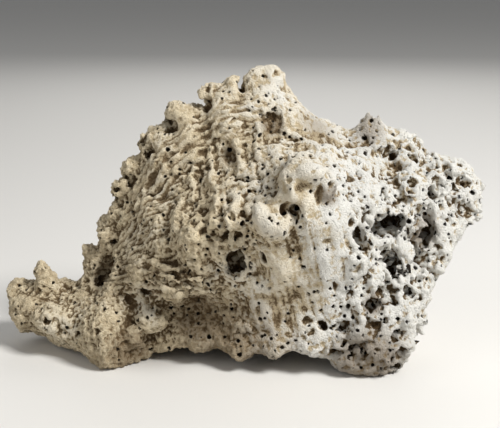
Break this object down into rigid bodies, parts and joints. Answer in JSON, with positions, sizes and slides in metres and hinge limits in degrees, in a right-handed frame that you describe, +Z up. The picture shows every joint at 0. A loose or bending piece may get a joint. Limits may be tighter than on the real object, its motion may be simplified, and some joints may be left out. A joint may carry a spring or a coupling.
{
  "type": "murex shell",
  "caption": "Weathered, bored murex seashell lying on its side, with a lobed lip, spiny varices, a siphonal canal and a worn spire.",
  "frame": {"origin": "centre of the shell's footprint box, at the height of the surface it rests on", "axes": "+X along the shell from the siphonal canal towards the spire, +Z up as it rests, -Y towards the viewer"},
  "size_m": [0.149, 0.0674, 0.0874],
  "materials": {
    "shell": "chalky, worn and bored, matt"
  },
  "bodies": {
    "root": {"shell": "shell"}
  },
  "joints": []
}
